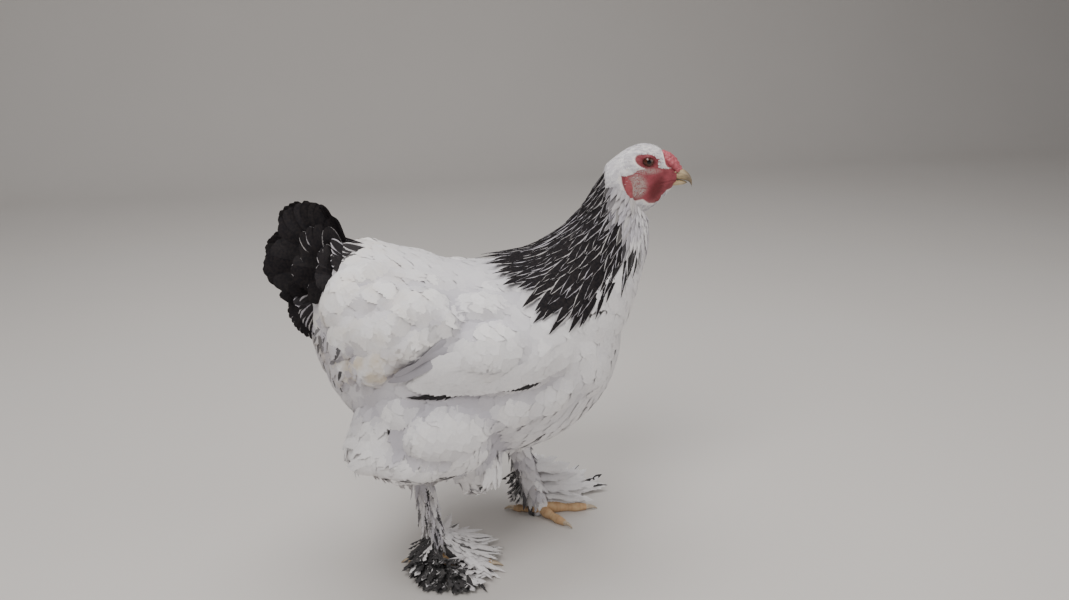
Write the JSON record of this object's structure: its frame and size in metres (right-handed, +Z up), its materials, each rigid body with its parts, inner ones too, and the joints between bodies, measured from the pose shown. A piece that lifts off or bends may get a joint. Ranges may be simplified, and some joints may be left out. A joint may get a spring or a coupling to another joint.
{
  "type": "brahma hen",
  "caption": "Still, life-size model of a light brahma hen in mid stride, with black-edged hackle, black tail and feathered feet.",
  "frame": {"origin": "on the floor, below the middle of the bird's box", "axes": "+X towards the breast, +Y to the bird's left, +Z up"},
  "size_m": [0.4187, 0.216, 0.4297],
  "materials": {
    "plumage_white": "matte",
    "plumage_black": "satin",
    "bare_skin": "matte",
    "horn": "satin",
    "toe_skin": "matte",
    "eye": "gloss"
  },
  "bodies": {
    "root": {"torso": "plumage_white", "neck": "plumage_white", "head": "plumage_white", "beak_upper": "horn", "beak_lower": "horn", "comb": "bare_skin", "earlobe_left": "bare_skin", "earlobe_right": "bare_skin", "wattle_left": "bare_skin", "wattle_right": "bare_skin", "eye_left": "eye", "eye_right": "eye", "wing_left": "plumage_white", "wing_right": "plumage_white", "tail": "plumage_black", "thigh_left": "plumage_white", "thigh_right": "plumage_white", "shank_left": "plumage_white", "shank_right": "plumage_white", "foot_left": "toe_skin", "foot_right": "toe_skin", "foot_feathers_left": "plumage_white", "foot_feathers_right": "plumage_black", "claw_left_hind": "horn", "claw_left_inner": "horn", "claw_left_middle": "horn", "claw_left_outer": "horn", "claw_right_hind": "horn", "claw_right_inner": "horn", "claw_right_middle": "horn", "claw_right_outer": "horn"}
  },
  "joints": []
}
